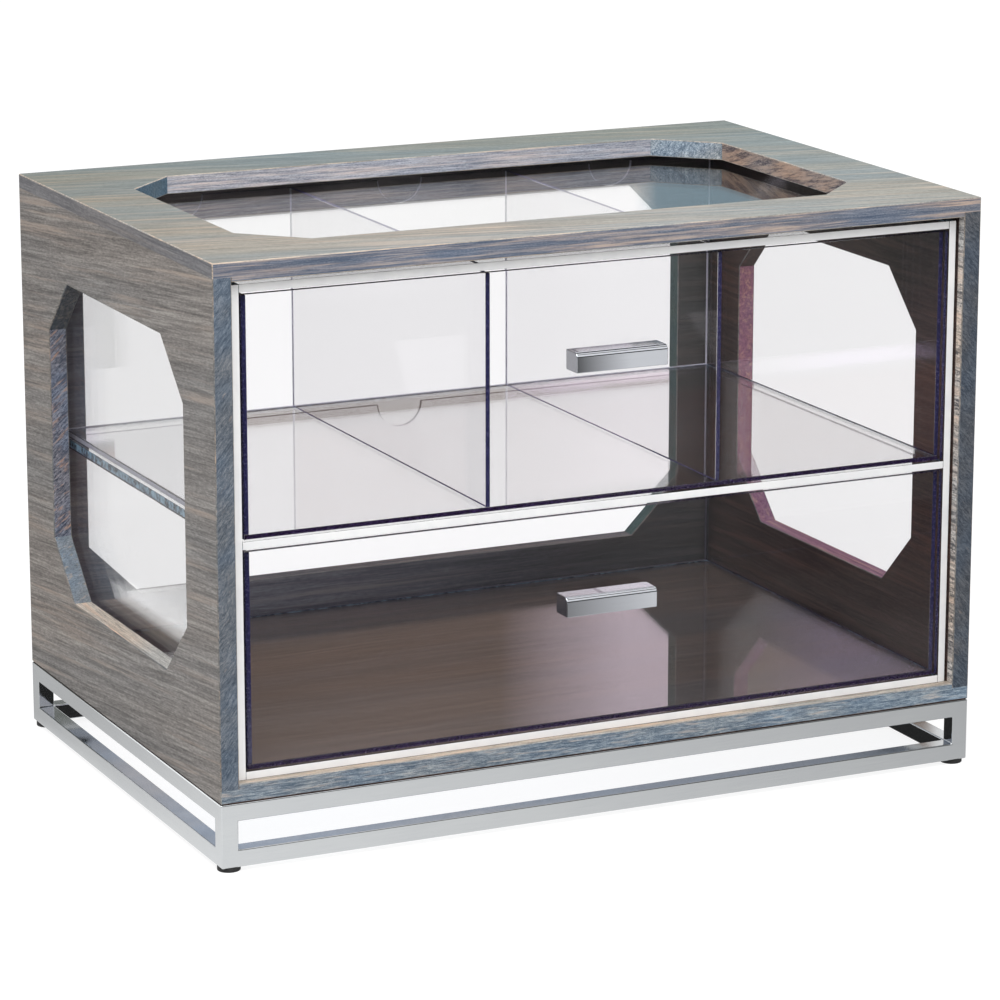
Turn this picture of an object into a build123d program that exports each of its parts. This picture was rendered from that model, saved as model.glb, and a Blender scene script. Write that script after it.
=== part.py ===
"""Countertop bread display bin: an oak casing with clipped-corner windows, a clear
two-tier liner, two clear pull-out drawers and a square-tube chrome stand.

Millimetres. +Z is up, -Y is the front. The origin is on the ground, under the middle
of everything that stands on it, the drawer handles included.
"""
from build123d import *
import os

os.makedirs("parts", exist_ok=True)

# ---- oak casing ----
case_width = 520
case_depth = 342
case_height = 330
board = 12
rabbet = 3  # how deep the side boards are let into the top and bottom boards
window_corner = 36  # each window is a rectangle with its corners clipped by this much
side_window_margin = 52  # wood left in front of and behind a side window
side_window_sill = 62
side_window_head = 58
top_window_side_margin = 48
top_window_end_margin = 50
back_window_margin = 42
dowel_radius = 3
dowel_length = 20
dowel_in_face = 6  # how far a dowel runs into the board it meets flat on
dowel_end_inset = 30
dowels_per_joint = 3

# ---- clear liner ----
liner_sheet = 5
liner_recess = 6.5  # the liner and the drawer fronts stand this far inside the casing
liner_side_gap = 2
liner_top_gap = 3
liner_back_gap = 1
lower_tier_height = 137.5

# ---- clear drawers ----
pane = 4
drawer_sheet = 3
pane_side_gap = 1
pane_end_gap = 1.3  # over and under each drawer front
wall_inset = 1.5  # from the pane's edge to the drawer's side wall
wall_drop = 1  # from the pane's top edge to the top of the walls
glide_gap = 0.3
drawer_back_gap = 4.5
upper_compartments = 3
notch_radius = 16

# ---- bar handles ----
handle_length = 62
handle_height = 12.5
handle_depth = 15
handle_round = 3.2
handle_arris = 0.4
upper_handle_drop = 57.7  # from the pane's top edge to the middle of the bar
lower_handle_drop = 55
upper_handle_shift = 3  # sideways, from the middle of the pane
lower_handle_shift = -3
handle_screw_spacing = 40
handle_screw_radius = 2
handle_screw_grip = 8  # length of thread in the bar
handle_screw_head_radius = 3.5
handle_screw_head = 2.4
handle_hole_clearance = 0.2

# ---- chrome stand ----
tube = 11
tube_wall = 1.2
stand_height = 40
tab_length = 26
tab_plate = 2
tab_hole_inset = 9
tab_screw_radius = 1.75
tab_screw_grip = 8
tab_screw_head_radius = 3.6
tab_screw_head = 2.2
tab_hole_clearance = 0.3
foot_radius = 7.2
foot_height = 3
foot_edge = 0.5
foot_pin_radius = 2
foot_pin_length = 9
foot_pin_clearance = 0.1

# ---- places that follow from the sizes ----
handle_reach = handle_depth - liner_recess  # the bars stand out of the casing
case_front = handle_reach - (case_depth + handle_reach) / 2
case_back = case_front + case_depth
case_middle = (case_front + case_back) / 2
case_bottom = foot_height + stand_height
case_top = case_bottom + case_height
half_width = case_width / 2
inner_half = half_width - board
side_bottom = case_bottom + board - rabbet
side_top = case_top - board + rabbet

liner_front = case_front + liner_recess
liner_back = case_back - board - liner_back_gap
liner_half = inner_half - liner_side_gap
liner_bottom = case_bottom + board
liner_top = case_top - board - liner_top_gap
tier_half = liner_half - liner_sheet
lower_floor = liner_bottom + liner_sheet
lower_ceiling = lower_floor + lower_tier_height
upper_floor = lower_ceiling + liner_sheet
upper_ceiling = liner_top - liner_sheet

pane_back = liner_front + pane
drawer_back = liner_back - liner_sheet - drawer_back_gap
drawer_half = tier_half - pane_side_gap - wall_inset
drawer_length = drawer_back - pane_back


def clipped_window(plane, middle, width, height):
    """The outline of a window: a rectangle with its four corners clipped off."""
    with BuildSketch(plane) as outline:
        with Locations(middle):
            Rectangle(width, height)
        chamfer(outline.vertices(), window_corner)
    return outline.sketch


def spread(first, last, count):
    """Evenly spaced places from first to last."""
    return [first + (last - first) * step / (count - 1) for step in range(count)]


# ---- dowels, which hold the casing together and don't show ----
dowel_rows = spread(case_front + dowel_end_inset, case_back - board - dowel_end_inset, dowels_per_joint)
with BuildPart() as casing_dowels:
    for side in (-1, 1):
        for row in dowel_rows:
            middle_of_board = side * (half_width - board / 2)
            low_end = Plane((middle_of_board, row, side_bottom - dowel_in_face), z_dir=(0, 0, 1))
            with BuildSketch(low_end):
                Circle(dowel_radius)
            extrude(amount=dowel_length)
            high_end = Plane((middle_of_board, row, side_top + dowel_in_face), z_dir=(0, 0, -1))
            with BuildSketch(high_end):
                Circle(dowel_radius)
            extrude(amount=dowel_length)
casing_dowels.part.label = "casing_dowels"
export_step(casing_dowels.part, "parts/casing_dowels.step")

back_dowel_heights = spread(case_bottom + board + dowel_end_inset, case_top - board - dowel_end_inset, dowels_per_joint)
with BuildPart() as back_dowels:
    for side in (-1, 1):
        for height in back_dowel_heights:
            start = (side * (inner_half + dowel_in_face), case_back - board / 2, height)
            with BuildSketch(Plane(start, z_dir=(-side, 0, 0))):
                Circle(dowel_radius)
            extrude(amount=dowel_length)
back_dowels.part.label = "back_dowels"
export_step(back_dowels.part, "parts/back_dowels.step")


# ---- screws of the stand: up through a tab in each corner, into the bottom board ----
tab_screw_spots = [
    (x * (half_width - tube - tab_hole_inset), case_middle + y * (case_depth / 2 - tube - tab_hole_inset))
    for x in (-1, 1)
    for y in (-1, 1)
]
with BuildPart() as stand_screws:
    with BuildSketch(Plane.XY.offset(case_bottom - tab_plate)):
        with Locations(*tab_screw_spots):
            Circle(tab_screw_radius)
    extrude(amount=tab_plate + tab_screw_grip)
    with BuildSketch(Plane.XY.offset(case_bottom - tab_plate)):
        with Locations(*tab_screw_spots):
            Circle(tab_screw_head_radius)
    extrude(amount=-tab_screw_head)
stand_screws.part.label = "stand_screws"
export_step(stand_screws.part, "parts/stand_screws.step")


# ---- side boards ----
side_window = clipped_window(
    Plane.YZ,
    (case_middle, case_bottom + (side_window_sill + case_height - side_window_head) / 2),
    case_depth - 2 * side_window_margin,
    case_height - side_window_sill - side_window_head,
)
for side, name in ((-1, "left_side_panel"), (1, "right_side_panel")):
    with BuildPart() as side_panel:
        with BuildSketch(Plane.YZ.offset(side * half_width)):
            with Locations((case_middle, (side_bottom + side_top) / 2)):
                Rectangle(case_depth, side_top - side_bottom)
        extrude(amount=-side * board)
        extrude(side_window, amount=side * half_width, mode=Mode.SUBTRACT)
        add(casing_dowels.part, mode=Mode.SUBTRACT)
        add(back_dowels.part, mode=Mode.SUBTRACT)
    side_panel.part.label = name
    export_step(side_panel.part, f"parts/{name}.step")

# ---- top board, with its window ----
top_window = clipped_window(
    Plane.XY.offset(case_top),
    (0, case_middle),
    case_width - 2 * top_window_side_margin,
    case_depth - 2 * top_window_end_margin,
)
with BuildPart() as top_panel:
    with BuildSketch(Plane.XZ.offset(-case_front)):
        with Locations((0, case_top - board / 2)):
            Rectangle(case_width, board)
        with Locations(*[(side * (half_width - board / 2), case_top - board + rabbet / 2) for side in (-1, 1)]):
            Rectangle(board, rabbet, mode=Mode.SUBTRACT)
    extrude(amount=-case_depth)
    extrude(top_window, amount=-board, mode=Mode.SUBTRACT)
    add(casing_dowels.part, mode=Mode.SUBTRACT)
top_panel.part.label = "top_panel"
export_step(top_panel.part, "parts/top_panel.step")

# ---- bottom board ----
with BuildPart() as bottom_panel:
    with BuildSketch(Plane.XZ.offset(-case_front)):
        with Locations((0, case_bottom + board / 2)):
            Rectangle(case_width, board)
        with Locations(*[(side * (half_width - board / 2), case_bottom + board - rabbet / 2) for side in (-1, 1)]):
            Rectangle(board, rabbet, mode=Mode.SUBTRACT)
    extrude(amount=-case_depth)
    add(casing_dowels.part, mode=Mode.SUBTRACT)
    add(stand_screws.part, mode=Mode.SUBTRACT)
bottom_panel.part.label = "bottom_panel"
export_step(bottom_panel.part, "parts/bottom_panel.step")

# ---- back board, between the others, with its window ----
back_window = clipped_window(
    Plane.XZ.offset(-case_back),
    (0, (case_bottom + case_top) / 2),
    case_width - 2 * back_window_margin,
    case_height - 2 * back_window_margin,
)
with BuildPart() as back_panel:
    with BuildSketch(Plane.XZ.offset(-case_back)):
        with Locations((0, (case_bottom + case_top) / 2)):
            Rectangle(2 * inner_half, case_height - 2 * board)
    extrude(amount=board)
    extrude(back_window, amount=board, mode=Mode.SUBTRACT)
    add(back_dowels.part, mode=Mode.SUBTRACT)
back_panel.part.label = "back_panel"
export_step(back_panel.part, "parts/back_panel.step")


# ---- liner: six clear sheets cemented into an open-fronted box with a shelf ----
for side, name in ((-1, "liner_left_wall"), (1, "liner_right_wall")):
    with BuildPart() as liner_wall:
        with BuildSketch(Plane.YZ.offset(side * liner_half)):
            with Locations(((liner_front + liner_back) / 2, (liner_bottom + liner_top) / 2)):
                Rectangle(liner_back - liner_front, liner_top - liner_bottom)
        extrude(amount=-side * liner_sheet)
    liner_wall.part.label = name
    export_step(liner_wall.part, f"parts/{name}.step")

with BuildPart() as liner_back_sheet:
    with BuildSketch(Plane.XZ.offset(-liner_back)):
        with Locations((0, (liner_bottom + liner_top) / 2)):
            Rectangle(2 * tier_half, liner_top - liner_bottom)
    extrude(amount=liner_sheet)
liner_back_sheet.part.label = "liner_back_sheet"
export_step(liner_back_sheet.part, "parts/liner_back_sheet.step")

flat_sheet_length = liner_back - liner_sheet - liner_front
for name, underside in (
    ("liner_floor", liner_bottom),
    ("liner_shelf", lower_ceiling),
    ("liner_top", upper_ceiling),
):
    with BuildPart() as flat_sheet:
        with BuildSketch(Plane.XY.offset(underside)):
            with Locations((0, liner_front + flat_sheet_length / 2)):
                Rectangle(2 * tier_half, flat_sheet_length)
        extrude(amount=liner_sheet)
    flat_sheet.part.label = name
    export_step(flat_sheet.part, f"parts/{name}.step")


# ---- drawers: a front pane with a floor, three walls and any dividers cemented behind it ----
tiers = {
    "upper": {
        "floor": upper_floor,
        "ceiling": upper_ceiling,
        "compartments": upper_compartments,
        "handle_drop": upper_handle_drop,
        "handle_shift": upper_handle_shift,
    },
    "lower": {
        "floor": lower_floor,
        "ceiling": lower_ceiling,
        "compartments": 1,
        "handle_drop": lower_handle_drop,
        "handle_shift": lower_handle_shift,
    },
}

for tier, place in tiers.items():
    pane_bottom = place["floor"] + pane_end_gap
    pane_top = place["ceiling"] - pane_end_gap
    pane_half = tier_half - pane_side_gap
    floor_bottom = place["floor"] + glide_gap
    wall_bottom = floor_bottom + drawer_sheet
    wall_height = pane_top - wall_drop - wall_bottom
    wall_middle = wall_bottom + wall_height / 2
    inside_half = drawer_half - drawer_sheet
    handle_middle = (place["handle_shift"], pane_top - place["handle_drop"])
    screw_spots = [
        (handle_middle[0] + side * handle_screw_spacing / 2, handle_middle[1]) for side in (-1, 1)
    ]

    # two machine screws, from inside the drawer through the pane into the bar
    with BuildPart() as handle_screws:
        with BuildSketch(Plane.XZ.offset(-pane_back)):
            with Locations(*screw_spots):
                Circle(handle_screw_radius)
        extrude(amount=pane + handle_screw_grip)
        with BuildSketch(Plane.XZ.offset(-pane_back)):
            with Locations(*screw_spots):
                Circle(handle_screw_head_radius)
        extrude(amount=-handle_screw_head)
    handle_screws.part.label = f"{tier}_handle_screws"
    export_step(handle_screws.part, f"parts/{tier}_handle_screws.step")

    with BuildPart() as front_pane:
        with BuildSketch(Plane.XZ.offset(-liner_front)):
            with Locations((0, (pane_bottom + pane_top) / 2)):
                Rectangle(2 * pane_half, pane_top - pane_bottom)
            with Locations(*screw_spots):
                Circle(handle_screw_radius + handle_hole_clearance, mode=Mode.SUBTRACT)
        extrude(amount=-pane)
    front_pane.part.label = f"{tier}_front_pane"
    export_step(front_pane.part, f"parts/{tier}_front_pane.step")

    with BuildPart() as drawer_floor:
        with BuildSketch(Plane.XY.offset(floor_bottom)):
            with Locations((0, pane_back + drawer_length / 2)):
                Rectangle(2 * drawer_half, drawer_length)
        extrude(amount=drawer_sheet)
    drawer_floor.part.label = f"{tier}_drawer_floor"
    export_step(drawer_floor.part, f"parts/{tier}_drawer_floor.step")

    for side, name in ((-1, "left"), (1, "right")):
        with BuildPart() as drawer_wall:
            with BuildSketch(Plane.YZ.offset(side * drawer_half)):
                with Locations((pane_back + drawer_length / 2, wall_middle)):
                    Rectangle(drawer_length, wall_height)
            extrude(amount=-side * drawer_sheet)
        drawer_wall.part.label = f"{tier}_drawer_{name}_wall"
        export_step(drawer_wall.part, f"parts/{tier}_drawer_{name}_wall.step")

    # the dividers split the drawer into equal compartments, and each has a finger notch behind
    compartments = place["compartments"]
    compartment_width = (2 * inside_half - (compartments - 1) * drawer_sheet) / compartments
    pitch = compartment_width + drawer_sheet
    notch_spots = [
        (-inside_half + compartment_width / 2 + step * pitch, wall_bottom + wall_height)
        for step in range(compartments)
    ]
    with BuildPart() as back_wall:
        with BuildSketch(Plane.XZ.offset(-drawer_back)):
            with Locations((0, wall_middle)):
                Rectangle(2 * inside_half, wall_height)
            with Locations(*notch_spots):
                Circle(notch_radius, mode=Mode.SUBTRACT)
        extrude(amount=drawer_sheet)
    back_wall.part.label = f"{tier}_drawer_back_wall"
    export_step(back_wall.part, f"parts/{tier}_drawer_back_wall.step")

    divider_length = drawer_length - drawer_sheet
    for step in range(1, compartments):
        divider_face = -inside_half + step * pitch - drawer_sheet
        with BuildPart() as divider:
            with BuildSketch(Plane.YZ.offset(divider_face)):
                with Locations((pane_back + divider_length / 2, wall_middle)):
                    Rectangle(divider_length, wall_height)
            extrude(amount=drawer_sheet)
        divider.part.label = f"{tier}_drawer_divider_{step}"
        export_step(divider.part, f"parts/{tier}_drawer_divider_{step}.step")

    # a solid bar with its upper front edge rounded over
    with BuildPart() as handle:
        with BuildSketch(Plane.XZ.offset(-liner_front)):
            with Locations(handle_middle):
                Rectangle(handle_length, handle_height)
        extrude(amount=handle_depth)
        front_face = handle.faces().sort_by(Axis.Y)[0]
        top_front_edge = front_face.edges().sort_by(Axis.Z)[-1]
        fillet(top_front_edge, handle_round)
        end_edges = handle.edges().filter_by(Axis.Y)
        fillet(end_edges, handle_arris)
        add(handle_screws.part, mode=Mode.SUBTRACT)
    handle.part.label = f"{tier}_handle"
    export_step(handle.part, f"parts/{tier}_handle.step")


# ---- stand: two rings of square tube on four posts, welded and chromed ----
upper_rail_z = case_bottom - tube / 2
lower_rail_z = foot_height + tube / 2
for level, rail_z in (("upper", upper_rail_z), ("lower", lower_rail_z)):
    for end, rail_y in (("front", case_front + tube / 2), ("back", case_back - tube / 2)):
        with BuildPart() as cross_rail:
            with BuildSketch(Plane.YZ.offset(tube - half_width)):
                with Locations((rail_y, rail_z)):
                    Rectangle(tube, tube)
                    Rectangle(tube - 2 * tube_wall, tube - 2 * tube_wall, mode=Mode.SUBTRACT)
            extrude(amount=case_width - 2 * tube)
        cross_rail.part.label = f"stand_{level}_{end}_rail"
        export_step(cross_rail.part, f"parts/stand_{level}_{end}_rail.step")
    for side, hand in ((-1, "left"), (1, "right")):
        with BuildPart() as side_rail:
            with BuildSketch(Plane.XZ.offset(-case_front - tube)):
                with Locations((side * (half_width - tube / 2), rail_z)):
                    Rectangle(tube, tube)
                    Rectangle(tube - 2 * tube_wall, tube - 2 * tube_wall, mode=Mode.SUBTRACT)
            extrude(amount=-(case_depth - 2 * tube))
        side_rail.part.label = f"stand_{level}_{hand}_rail"
        export_step(side_rail.part, f"parts/stand_{level}_{hand}_rail.step")

for end, toward_back in (("front", -1), ("back", 1)):
    for hand, side in (("left", -1), ("right", 1)):
        post_x = side * (half_width - tube / 2)
        post_y = case_middle + toward_back * (case_depth - tube) / 2
        foot_x = side * (half_width - foot_radius)
        foot_y = case_middle + toward_back * (case_depth / 2 - foot_radius)
        corner_x = side * (half_width - tube)
        corner_y = case_middle + toward_back * (case_depth / 2 - tube)

        # a capped post, with a hole under it for the foot's pin
        with BuildPart() as post:
            with BuildSketch(Plane.XY.offset(foot_height)):
                with Locations((post_x, post_y)):
                    Rectangle(tube, tube)
            extrude(amount=stand_height)
            with BuildSketch(Plane.XY.offset(foot_height + tube_wall)):
                with Locations((post_x, post_y)):
                    Rectangle(tube - 2 * tube_wall, tube - 2 * tube_wall)
            extrude(amount=stand_height - 2 * tube_wall, mode=Mode.SUBTRACT)
            with BuildSketch(Plane.XY.offset(foot_height)):
                with Locations((foot_x, foot_y)):
                    Circle(foot_pin_radius + foot_pin_clearance)
            extrude(amount=tube_wall, mode=Mode.SUBTRACT)
        post.part.label = f"stand_{end}_{hand}_post"
        export_step(post.part, f"parts/stand_{end}_{hand}_post.step")

        # a three-cornered tab welded into the corner of the upper ring
        with BuildPart() as tab:
            with BuildSketch(Plane.XY.offset(case_bottom)):
                with BuildLine():
                    Polyline(
                        (corner_x, corner_y),
                        (corner_x - side * tab_length, corner_y),
                        (corner_x, corner_y - toward_back * tab_length),
                        close=True,
                    )
                make_face()
                with Locations((corner_x - side * tab_hole_inset, corner_y - toward_back * tab_hole_inset)):
                    Circle(tab_screw_radius + tab_hole_clearance, mode=Mode.SUBTRACT)
            extrude(amount=-tab_plate)
        tab.part.label = f"stand_{end}_{hand}_tab"
        export_step(tab.part, f"parts/stand_{end}_{hand}_tab.step")

        # a rubber foot: a low disc with a pin pushed up into the post
        with BuildPart() as foot:
            with BuildSketch():
                with Locations((foot_x, foot_y)):
                    Circle(foot_radius)
            extrude(amount=foot_height)
            chamfer(foot.faces().sort_by(Axis.Z)[0].edges(), foot_edge)
            with BuildSketch(Plane.XY.offset(foot_height)):
                with Locations((foot_x, foot_y)):
                    Circle(foot_pin_radius)
            extrude(amount=foot_pin_length)
        foot.part.label = f"foot_{end}_{hand}"
        export_step(foot.part, f"parts/foot_{end}_{hand}.step")
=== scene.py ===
"""The looks of a countertop bread display bin: grey-washed oak, clear acrylic and chrome.

Metres. +Z is up and -Y is the front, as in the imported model, which gives every place and size.
"""
import math
import bmesh
import bpy
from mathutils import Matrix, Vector


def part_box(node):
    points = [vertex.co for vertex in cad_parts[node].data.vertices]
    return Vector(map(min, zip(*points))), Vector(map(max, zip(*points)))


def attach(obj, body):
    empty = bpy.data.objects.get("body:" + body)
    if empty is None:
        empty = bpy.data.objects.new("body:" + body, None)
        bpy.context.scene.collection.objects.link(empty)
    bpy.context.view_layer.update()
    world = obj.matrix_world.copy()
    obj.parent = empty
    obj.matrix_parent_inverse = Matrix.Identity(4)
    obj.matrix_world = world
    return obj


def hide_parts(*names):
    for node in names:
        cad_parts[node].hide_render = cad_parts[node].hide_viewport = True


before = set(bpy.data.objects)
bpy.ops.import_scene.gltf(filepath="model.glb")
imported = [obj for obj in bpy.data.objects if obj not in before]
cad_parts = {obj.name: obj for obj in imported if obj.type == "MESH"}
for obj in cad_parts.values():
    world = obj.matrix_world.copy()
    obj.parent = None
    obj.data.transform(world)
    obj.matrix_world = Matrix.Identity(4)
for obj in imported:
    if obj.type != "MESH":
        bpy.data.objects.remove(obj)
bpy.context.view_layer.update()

MM = 0.001

# ---- stand frame ----
# Two rings of square steel tube on four corner posts. The corners are welded, ground flush and
# polished, then the whole frame is chromed, so no joint shows.
tube_arris = 0.7 * MM


def block(name, low, high):
    """A cuboid from its low corner to its high corner, with its place in its mesh."""
    bpy.ops.object.select_all(action="DESELECT")
    middle = [(a + b) / 2 for a, b in zip(low, high)]
    size = [b - a for a, b in zip(low, high)]
    bpy.ops.mesh.primitive_cube_add(size=1, location=middle, scale=size)
    piece = bpy.context.object
    piece.name = piece.data.name = name
    bpy.ops.object.transform_apply(location=True, rotation=True, scale=True)
    return piece


def pick_up(piece):
    """Makes the piece the only one that an operator works on."""
    bpy.ops.object.select_all(action="DESELECT")
    bpy.context.view_layer.objects.active = piece
    piece.select_set(True)


def cut_away(piece, cutter):
    """Takes the cutter's shape out of the piece, as a saw or a router does."""
    pick_up(piece)
    bpy.ops.object.modifier_add(type="BOOLEAN")
    saw = piece.modifiers[-1]
    saw.operation = "DIFFERENCE"
    saw.solver = "EXACT"
    saw.object = cutter
    bpy.ops.object.modifier_apply(modifier=saw.name)
    bpy.data.objects.remove(cutter)


def ease_edges(piece, width, steps):
    """Rounds every sharp edge of the piece. The new faces take the finish of those beside them."""
    pick_up(piece)
    bpy.ops.object.modifier_add(type="BEVEL")
    easing = piece.modifiers[-1]
    easing.width = width
    easing.segments = steps
    easing.limit_method = "ANGLE"
    easing.angle_limit = math.radians(30)
    bpy.ops.object.modifier_apply(modifier=easing.name)


def new_material(name):
    """A material with its node tree and its Principled shader."""
    material = bpy.data.materials.new(name)
    material.use_nodes = True
    tree = material.node_tree
    return material, tree, tree.nodes["Principled BSDF"]


def new_group(name, numbers, colours, outputs):
    """A shader node group that reads a place and gives masks, colours and heights."""
    group = bpy.data.node_groups.new(name, "ShaderNodeTree")
    group.interface.new_socket("Place", in_out="INPUT", socket_type="NodeSocketVector")
    for socket, value in numbers.items():
        made = group.interface.new_socket(socket, in_out="INPUT", socket_type="NodeSocketFloat")
        made.default_value = value
    for socket, value in colours.items():
        made = group.interface.new_socket(socket, in_out="INPUT", socket_type="NodeSocketColor")
        made.default_value = (*value, 1)
    for socket, kind in outputs.items():
        group.interface.new_socket(socket, in_out="OUTPUT", socket_type=f"NodeSocket{kind}")
    group_in = group.nodes.new("NodeGroupInput")
    group_out = group.nodes.new("NodeGroupOutput")
    return group, group_in.outputs, group_out.inputs


def feed(socket, value):
    """Sets a socket to a number or a colour, or links it to the socket that gives its value."""
    if isinstance(value, bpy.types.NodeSocket):
        value.id_data.links.new(value, socket)
    elif isinstance(value, tuple):
        socket.default_value = (*value, 1)
    else:
        socket.default_value = value


def tree_of(*values):
    """The node tree of the first socket among the values."""
    return next(value.id_data for value in values if isinstance(value, bpy.types.NodeSocket))


def stretched_noise(place, stretch, detail, roughness=0.5, turn=0.0):
    """Noise whose grains are longer along the axes where stretch is small. Gives its value socket."""
    tree = place.id_data
    mapping = tree.nodes.new("ShaderNodeMapping")
    mapping.inputs["Scale"].default_value = stretch
    mapping.inputs["Location"].default_value = (turn, 2.3 * turn, 5.1 * turn)
    feed(mapping.inputs["Vector"], place)
    noise = tree.nodes.new("ShaderNodeTexNoise")
    noise.inputs["Scale"].default_value = 1
    noise.inputs["Detail"].default_value = detail
    noise.inputs["Roughness"].default_value = roughness
    feed(noise.inputs["Vector"], mapping.outputs["Vector"])
    return noise.outputs["Fac"]


def remap(value, from_low, from_high, to_low=0.0, to_high=1.0):
    """Stretches a range of values onto another and clips what lies outside."""
    node = value.id_data.nodes.new("ShaderNodeMapRange")
    node.clamp = True
    ends = {"From Min": from_low, "From Max": from_high, "To Min": to_low, "To Max": to_high}
    for socket, number in ends.items():
        feed(node.inputs[socket], number)
    feed(node.inputs["Value"], value)
    return node.outputs["Result"]


def combine(operation, first, second):
    """Two values joined by one arithmetic step."""
    node = tree_of(first, second).nodes.new("ShaderNodeMath")
    node.operation = operation
    feed(node.inputs[0], first)
    feed(node.inputs[1], second)
    return node.outputs["Value"]


def times(first, second):
    return combine("MULTIPLY", first, second)


def plus(first, second):
    return combine("ADD", first, second)


def mix_values(kind, ending, share, first, second, how="MIX"):
    """Two values of one kind mixed by a share. The ending is the kind's name in the node's sockets."""
    node = tree_of(share, first, second).nodes.new("ShaderNodeMix")
    node.data_type = kind
    node.blend_type = how
    sockets = {socket.identifier: socket for socket in (*node.inputs, *node.outputs)}
    feed(sockets["Factor_Float"], share)
    feed(sockets[f"A_{ending}"], first)
    feed(sockets[f"B_{ending}"], second)
    return sockets[f"Result_{ending}"]


def blend_colours(share, first, second, how="MIX"):
    """Two colours mixed by a share, or by another blend mode."""
    return mix_values("RGBA", "Color", share, first, second, how)


def object_place(tree):
    """The place on a piece, in metres, which the pattern of every finish follows."""
    return tree.nodes.new("ShaderNodeTexCoord").outputs["Object"]


def bump(height, strength, distance, shader):
    """Small relief that is too fine to model."""
    node = height.id_data.nodes.new("ShaderNodeBump")
    node.inputs["Strength"].default_value = strength
    node.inputs["Distance"].default_value = distance
    feed(node.inputs["Height"], height)
    feed(shader.inputs["Normal"], node.outputs["Normal"])


# handling marks: faint smears and polishing lines, shared by the chrome, the steel and the acrylic
marks_group, marks_in, marks_out = new_group("handling_marks", {}, {}, {"Smear": "Float"})
smears = stretched_noise(marks_in["Place"], (9, 14, 22), 4, 0.6)
lines = stretched_noise(marks_in["Place"], (35, 60, 900), 2, 0.5)
feed(marks_out["Smear"], remap(plus(times(smears, 0.7), times(lines, 0.3)), 0.35, 0.7))


def add_marks(tree):
    """Places the handling marks in a material and gives their value socket."""
    node = tree.nodes.new("ShaderNodeGroup")
    node.node_tree = marks_group
    feed(node.inputs["Place"], object_place(tree))
    return node.outputs["Smear"]


def new_metal(name, clean, smeared, smooth, rough):
    """A metal whose colour and roughness change a little where it was handled."""
    material, tree, shader = new_material(name)
    shader.inputs["Metallic"].default_value = 1
    smear = add_marks(tree)
    feed(shader.inputs["Roughness"], remap(smear, 0, 1, smooth, rough))
    feed(shader.inputs["Base Color"], blend_colours(smear, clean, smeared))
    return material


chrome = new_metal("polished_chrome", (0.72, 0.74, 0.75), (0.66, 0.68, 0.70), 0.07, 0.15)

frame_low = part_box("stand_front_left_post")[0]
frame_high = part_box("stand_back_right_post")[1]
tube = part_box("stand_front_left_post")[1].x - frame_low.x
stand_frame = block("stand_frame", frame_low, frame_high)
for axis in range(3):
    low = [end + tube for end in frame_low]
    high = [end - tube for end in frame_high]
    low[axis] = frame_low[axis] - tube
    high[axis] = frame_high[axis] + tube
    cut_away(stand_frame, block("opening", low, high))
ease_edges(stand_frame, tube_arris, 3)
stand_frame.data.materials.append(chrome)
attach(stand_frame, "casing")
corners = [f"{end}_{hand}" for end in ("front", "back") for hand in ("left", "right")]
sides = ("front", "back", "left", "right")
rails = [f"stand_{level}_{side}_rail" for level in ("upper", "lower") for side in sides]
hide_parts(*rails, *[f"stand_{corner}_post" for corner in corners])


# ---- stand tabs and their screws ----
# A three-cornered plate is welded flat into each corner of the upper ring, flush with its top, and
# a pan-headed screw goes up through it into the bottom board.
plate_arris = 0.3 * MM
tab_hole_radius = 2.05 * MM
screw_head_round = 0.9 * MM
socket_radius = 1.5 * MM
socket_depth = 1.2 * MM
screw_head_radius = 3.6 * MM
screw_shank_radius = 1.75 * MM
# what lies closer together than this is at the same place
touching = 0.01 * MM


def rod(name, start, axis, radius, length, sides=32):
    """A round bar from its start, along one axis, with its place in its mesh."""
    bpy.ops.object.select_all(action="DESELECT")
    along = Vector(axis)
    turn = Vector((0, 0, 1)).rotation_difference(along).to_euler()
    bpy.ops.mesh.primitive_cylinder_add(vertices=sides, radius=radius, depth=length,
                                        location=Vector(start) + along * length / 2, rotation=turn)
    piece = bpy.context.object
    piece.name = piece.data.name = name
    bpy.ops.object.transform_apply(location=True, rotation=True, scale=True)
    return piece


def edit_parts(piece, kind, wanted):
    """Opens the piece for editing with only the wanted faces or edges selected."""
    pick_up(piece)
    bpy.ops.object.mode_set(mode="EDIT")
    bpy.ops.mesh.select_mode(type=kind)
    bpy.ops.mesh.select_all(action="DESELECT")
    mesh = bmesh.from_edit_mesh(piece.data)
    for part in mesh.faces if kind == "FACE" else mesh.edges:
        if wanted(part):
            part.select_set(True)
    bmesh.update_edit_mesh(piece.data)


def edit_faces(piece, wanted):
    edit_parts(piece, "FACE", wanted)


def edit_edges(piece, wanted):
    edit_parts(piece, "EDGE", wanted)


def end_edit():
    bpy.ops.object.mode_set(mode="OBJECT")


def copy_of(piece, name, shift=(0, 0, 0), mirror=(1, 1, 1)):
    """A copy with its own mesh, mirrored through the middle planes and then shifted."""
    pick_up(piece)
    bpy.ops.object.duplicate()
    twin = bpy.context.object
    twin.name = twin.data.name = name
    bpy.ops.transform.resize(value=mirror, center_override=(0, 0, 0))
    bpy.ops.transform.translate(value=shift)
    bpy.ops.object.transform_apply(location=True, rotation=True, scale=True)
    if mirror[0] * mirror[1] * mirror[2] < 0:
        edit_faces(twin, lambda face: True)
        bpy.ops.mesh.normals_make_consistent(inside=False)
        end_edit()
    return twin


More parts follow.
